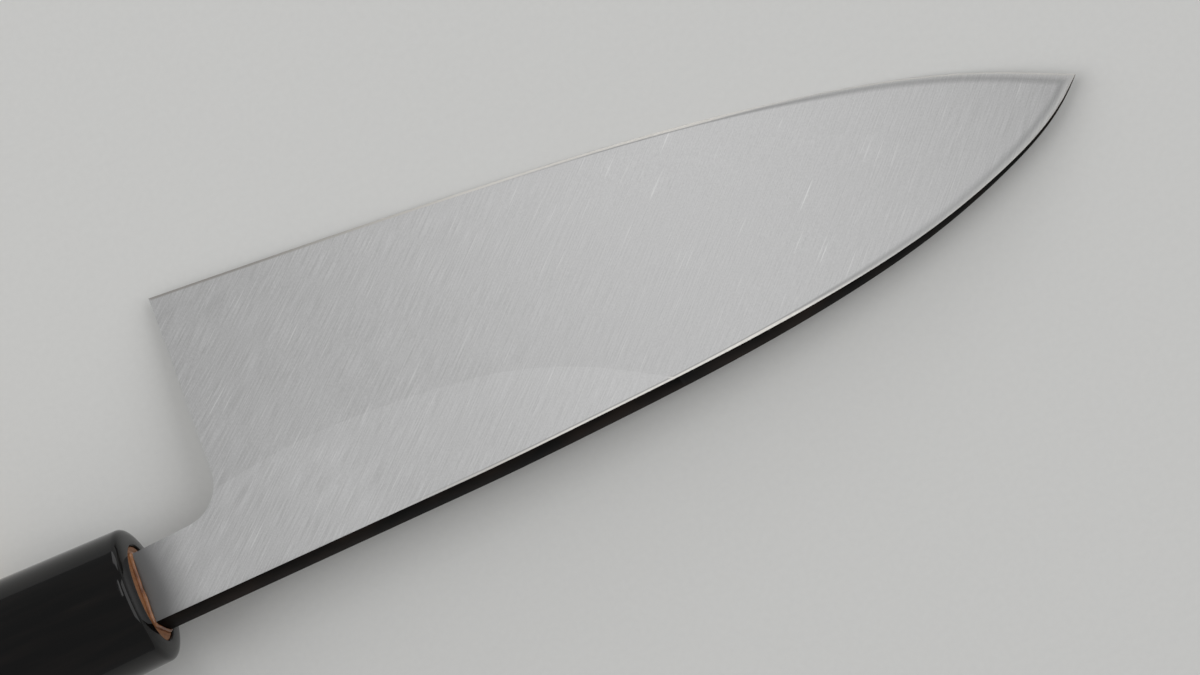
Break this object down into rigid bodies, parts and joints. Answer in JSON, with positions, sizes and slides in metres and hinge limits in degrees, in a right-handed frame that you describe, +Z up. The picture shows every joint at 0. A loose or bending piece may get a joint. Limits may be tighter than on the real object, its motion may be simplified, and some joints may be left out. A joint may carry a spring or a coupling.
{
  "type": "deba knife",
  "caption": "Heavy single-bevel fish knife with a hollow-ground back, broad curved blade, round choil, black oval horn ferrule and oval wooden handle",
  "frame": {"origin": "On the table, under the middle of the knife's bounding box, as the knife rests with its hollow back up.", "axes": "+X runs from the butt to the tip, nearly along the spine, +Y towards the side of the cutting edge, and +Z up out of the hollow back. At rest the knife lies on the ferrule and the bevel, with the edge side 14.5 degrees low and the tip end 3 degrees low, so the blade is turned by that from the axes."},
  "size_m": [0.3122, 0.0624, 0.0319],
  "materials": {
    "soft_iron": "satin",
    "hard_steel": "satin",
    "black_horn": "gloss",
    "handle_wood": "satin",
    "dowel_wood": "matte",
    "resin": "gloss"
  },
  "bodies": {
    "root": {"blade_jigane": "soft_iron", "blade_hagane": "hard_steel", "ferrule": "black_horn", "handle_body": "handle_wood", "handle_dowel": "dowel_wood", "tang_seal": "resin"}
  },
  "joints": []
}
